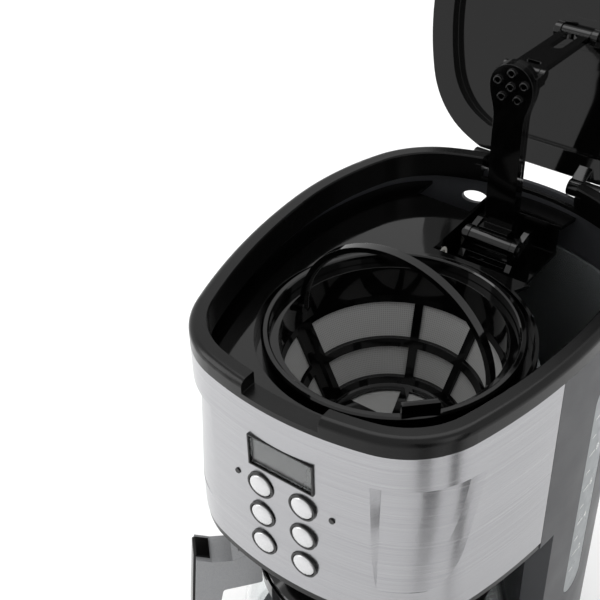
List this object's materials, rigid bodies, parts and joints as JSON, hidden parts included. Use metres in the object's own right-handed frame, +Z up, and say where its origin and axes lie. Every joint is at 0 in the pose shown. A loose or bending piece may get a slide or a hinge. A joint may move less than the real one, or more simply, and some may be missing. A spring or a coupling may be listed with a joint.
{
  "type": "drip coffee maker",
  "caption": "Programmable drip coffee maker with its lid open, spray arm raised, lift-out filter basket and a glass carafe on the warming plate.",
  "frame": {"origin": "centre of the footprint, on the table", "axes": "+X to the machine's right, -Y to its front, +Z up"},
  "size_m": [0.2024, 0.3761, 0.5723],
  "materials": {
    "steel": "brushed",
    "casing_plastic": "fine spark-eroded grain",
    "black_gloss": "high gloss",
    "black_satin": "satin",
    "silver_paint": "silver lacquer over plastic",
    "grey_plastic": "satin",
    "tank_clear": "clear, slightly smoky",
    "window_clear": "clear",
    "display_clear": "clear",
    "display_grey": "liquid-crystal cell",
    "glass": "clear",
    "plate_enamel": "non-stick enamel",
    "cast_aluminium": "as cast",
    "steel_small": "bright zinc",
    "silicone": "matte",
    "rubber": "matte",
    "mesh": "woven nylon",
    "board": "solder resist"
  },
  "bodies": {
    "machine": {"base_shell": "casing_plastic", "base_cover": "black_satin", "feet": "rubber", "base_screws": "steel_small", "hot_plate": "plate_enamel", "plate_gasket": "black_satin", "heater": "cast_aluminium", "thermostats": "steel_small", "cord_gland": "rubber", "casing": "casing_plastic", "tank_window": "window_clear", "water_tank": "tank_clear", "check_valve": "grey_plastic", "inlet_hose": "silicone", "riser_hose": "silicone", "hose_clamps": "steel_small", "steel_wrap": "steel", "head_liner": "black_satin", "head_bottom": "black_satin", "brew_deck": "black_gloss", "top_rim": "black_satin", "button_bezels": "black_gloss", "tact_switches": "black_satin", "control_board": "board", "display_bezel": "black_gloss", "display_glass": "display_clear", "lcd_panel": "display_grey", "led_lenses": "black_gloss", "arm_bracket": "black_gloss", "arm_pin": "black_satin", "hinge_pins": "black_satin"},
    "lid": {"lid_inner": "black_gloss", "lid_outer": "black_satin", "lid_bracket": "black_gloss", "link_pin": "black_satin"},
    "arm": {"spray_arm": "black_gloss", "arm_cover": "black_gloss"},
    "link": {"link_plate": "black_gloss"},
    "basket": {"basket": "black_gloss", "valve_spring": "steel_small"},
    "drip_valve": {"drip_valve": "black_satin", "valve_seal": "silicone"},
    "filter": {"filter_frame": "black_gloss", "filter_mesh": "mesh"},
    "bail": {"filter_bail": "black_gloss"},
    "carafe": {"carafe_glass": "glass", "carafe_band": "black_gloss", "carafe_handle": "grey_plastic", "handle_strip": "black_satin", "handle_screw": "steel_small", "carafe_lid_pin": "steel_small"},
    "carafe_lid": {"carafe_lid": "black_gloss"},
    "button_left_top": {"button_left_top": "silver_paint"},
    "button_left_middle": {"button_left_middle": "silver_paint"},
    "button_left_bottom": {"button_left_bottom": "silver_paint"},
    "button_right_top": {"button_right_top": "silver_paint"},
    "button_right_middle": {"button_right_middle": "silver_paint"},
    "button_right_bottom": {"button_right_bottom": "silver_paint"}
  },
  "joints": [
    {"name": "lid_hinge", "type": "hinge", "parent": "machine", "child": "lid", "pos_m": [0, 0.126, 0.338], "axis": [-1, 0, 0], "range_deg": [-112, 0]},
    {"name": "arm_hinge", "type": "hinge", "parent": "machine", "child": "arm", "pos_m": [0, 0.075, 0.318], "axis": [-1, 0, 0], "range_deg": [-85, 0]},
    {"name": "link_hinge", "type": "hinge", "parent": "lid", "child": "link", "pos_m": [0, 0.16103, 0.41617], "axis": [-1, 0, 0], "range_deg": [0, 112]},
    {"name": "basket_lift", "type": "slide", "parent": "machine", "child": "basket", "axis": [0, 0, 1], "range_m": [0, 0.15]},
    {"name": "valve_lift", "type": "slide", "parent": "basket", "child": "drip_valve", "axis": [0, 0, 1], "range_m": [0, 0.004], "stiffness_N_per_m": 150, "deforming": ["valve_spring"]},
    {"name": "filter_lift", "type": "slide", "parent": "basket", "child": "filter", "axis": [0, 0, 1], "range_m": [0, 0.1]},
    {"name": "bail_hinge", "type": "hinge", "parent": "filter", "child": "bail", "pos_m": [0, -0.0304, 0.3112], "axis": [-1, 0, 0], "range_deg": [-90, 0]},
    {"name": "carafe_slide", "type": "slide", "parent": "machine", "child": "carafe", "axis": [0, -1, 0], "range_m": [0, 0.18]},
    {"name": "carafe_lid_hinge", "type": "hinge", "parent": "carafe", "child": "carafe_lid", "pos_m": [-0.05339, -0.09539, 0.17], "axis": [0.7071, -0.7071, 0], "range_deg": [0, 12]},
    {"name": "press_left_top", "type": "slide", "parent": "machine", "child": "button_left_top", "axis": [0, 1, 0], "range_m": [0, 0.001], "stiffness_N_per_m": 900},
    {"name": "press_left_middle", "type": "slide", "parent": "machine", "child": "button_left_middle", "axis": [0, 1, 0], "range_m": [0, 0.001], "stiffness_N_per_m": 900},
    {"name": "press_left_bottom", "type": "slide", "parent": "machine", "child": "button_left_bottom", "axis": [0, 1, 0], "range_m": [0, 0.001], "stiffness_N_per_m": 900},
    {"name": "press_right_top", "type": "slide", "parent": "machine", "child": "button_right_top", "axis": [0, 1, 0], "range_m": [0, 0.001], "stiffness_N_per_m": 900},
    {"name": "press_right_middle", "type": "slide", "parent": "machine", "child": "button_right_middle", "axis": [0, 1, 0], "range_m": [0, 0.001], "stiffness_N_per_m": 900},
    {"name": "press_right_bottom", "type": "slide", "parent": "machine", "child": "button_right_bottom", "axis": [0, 1, 0], "range_m": [0, 0.001], "stiffness_N_per_m": 900}
  ],
  "couplings": [
    {"joint": "arm_hinge", "follows": "lid_hinge", "ratio": 0.7588},
    {"joint": "link_hinge", "follows": "lid_hinge", "ratio": -1},
    {"joint": "bail_hinge", "follows": "lid_hinge", "ratio": 0.8035}
  ]
}
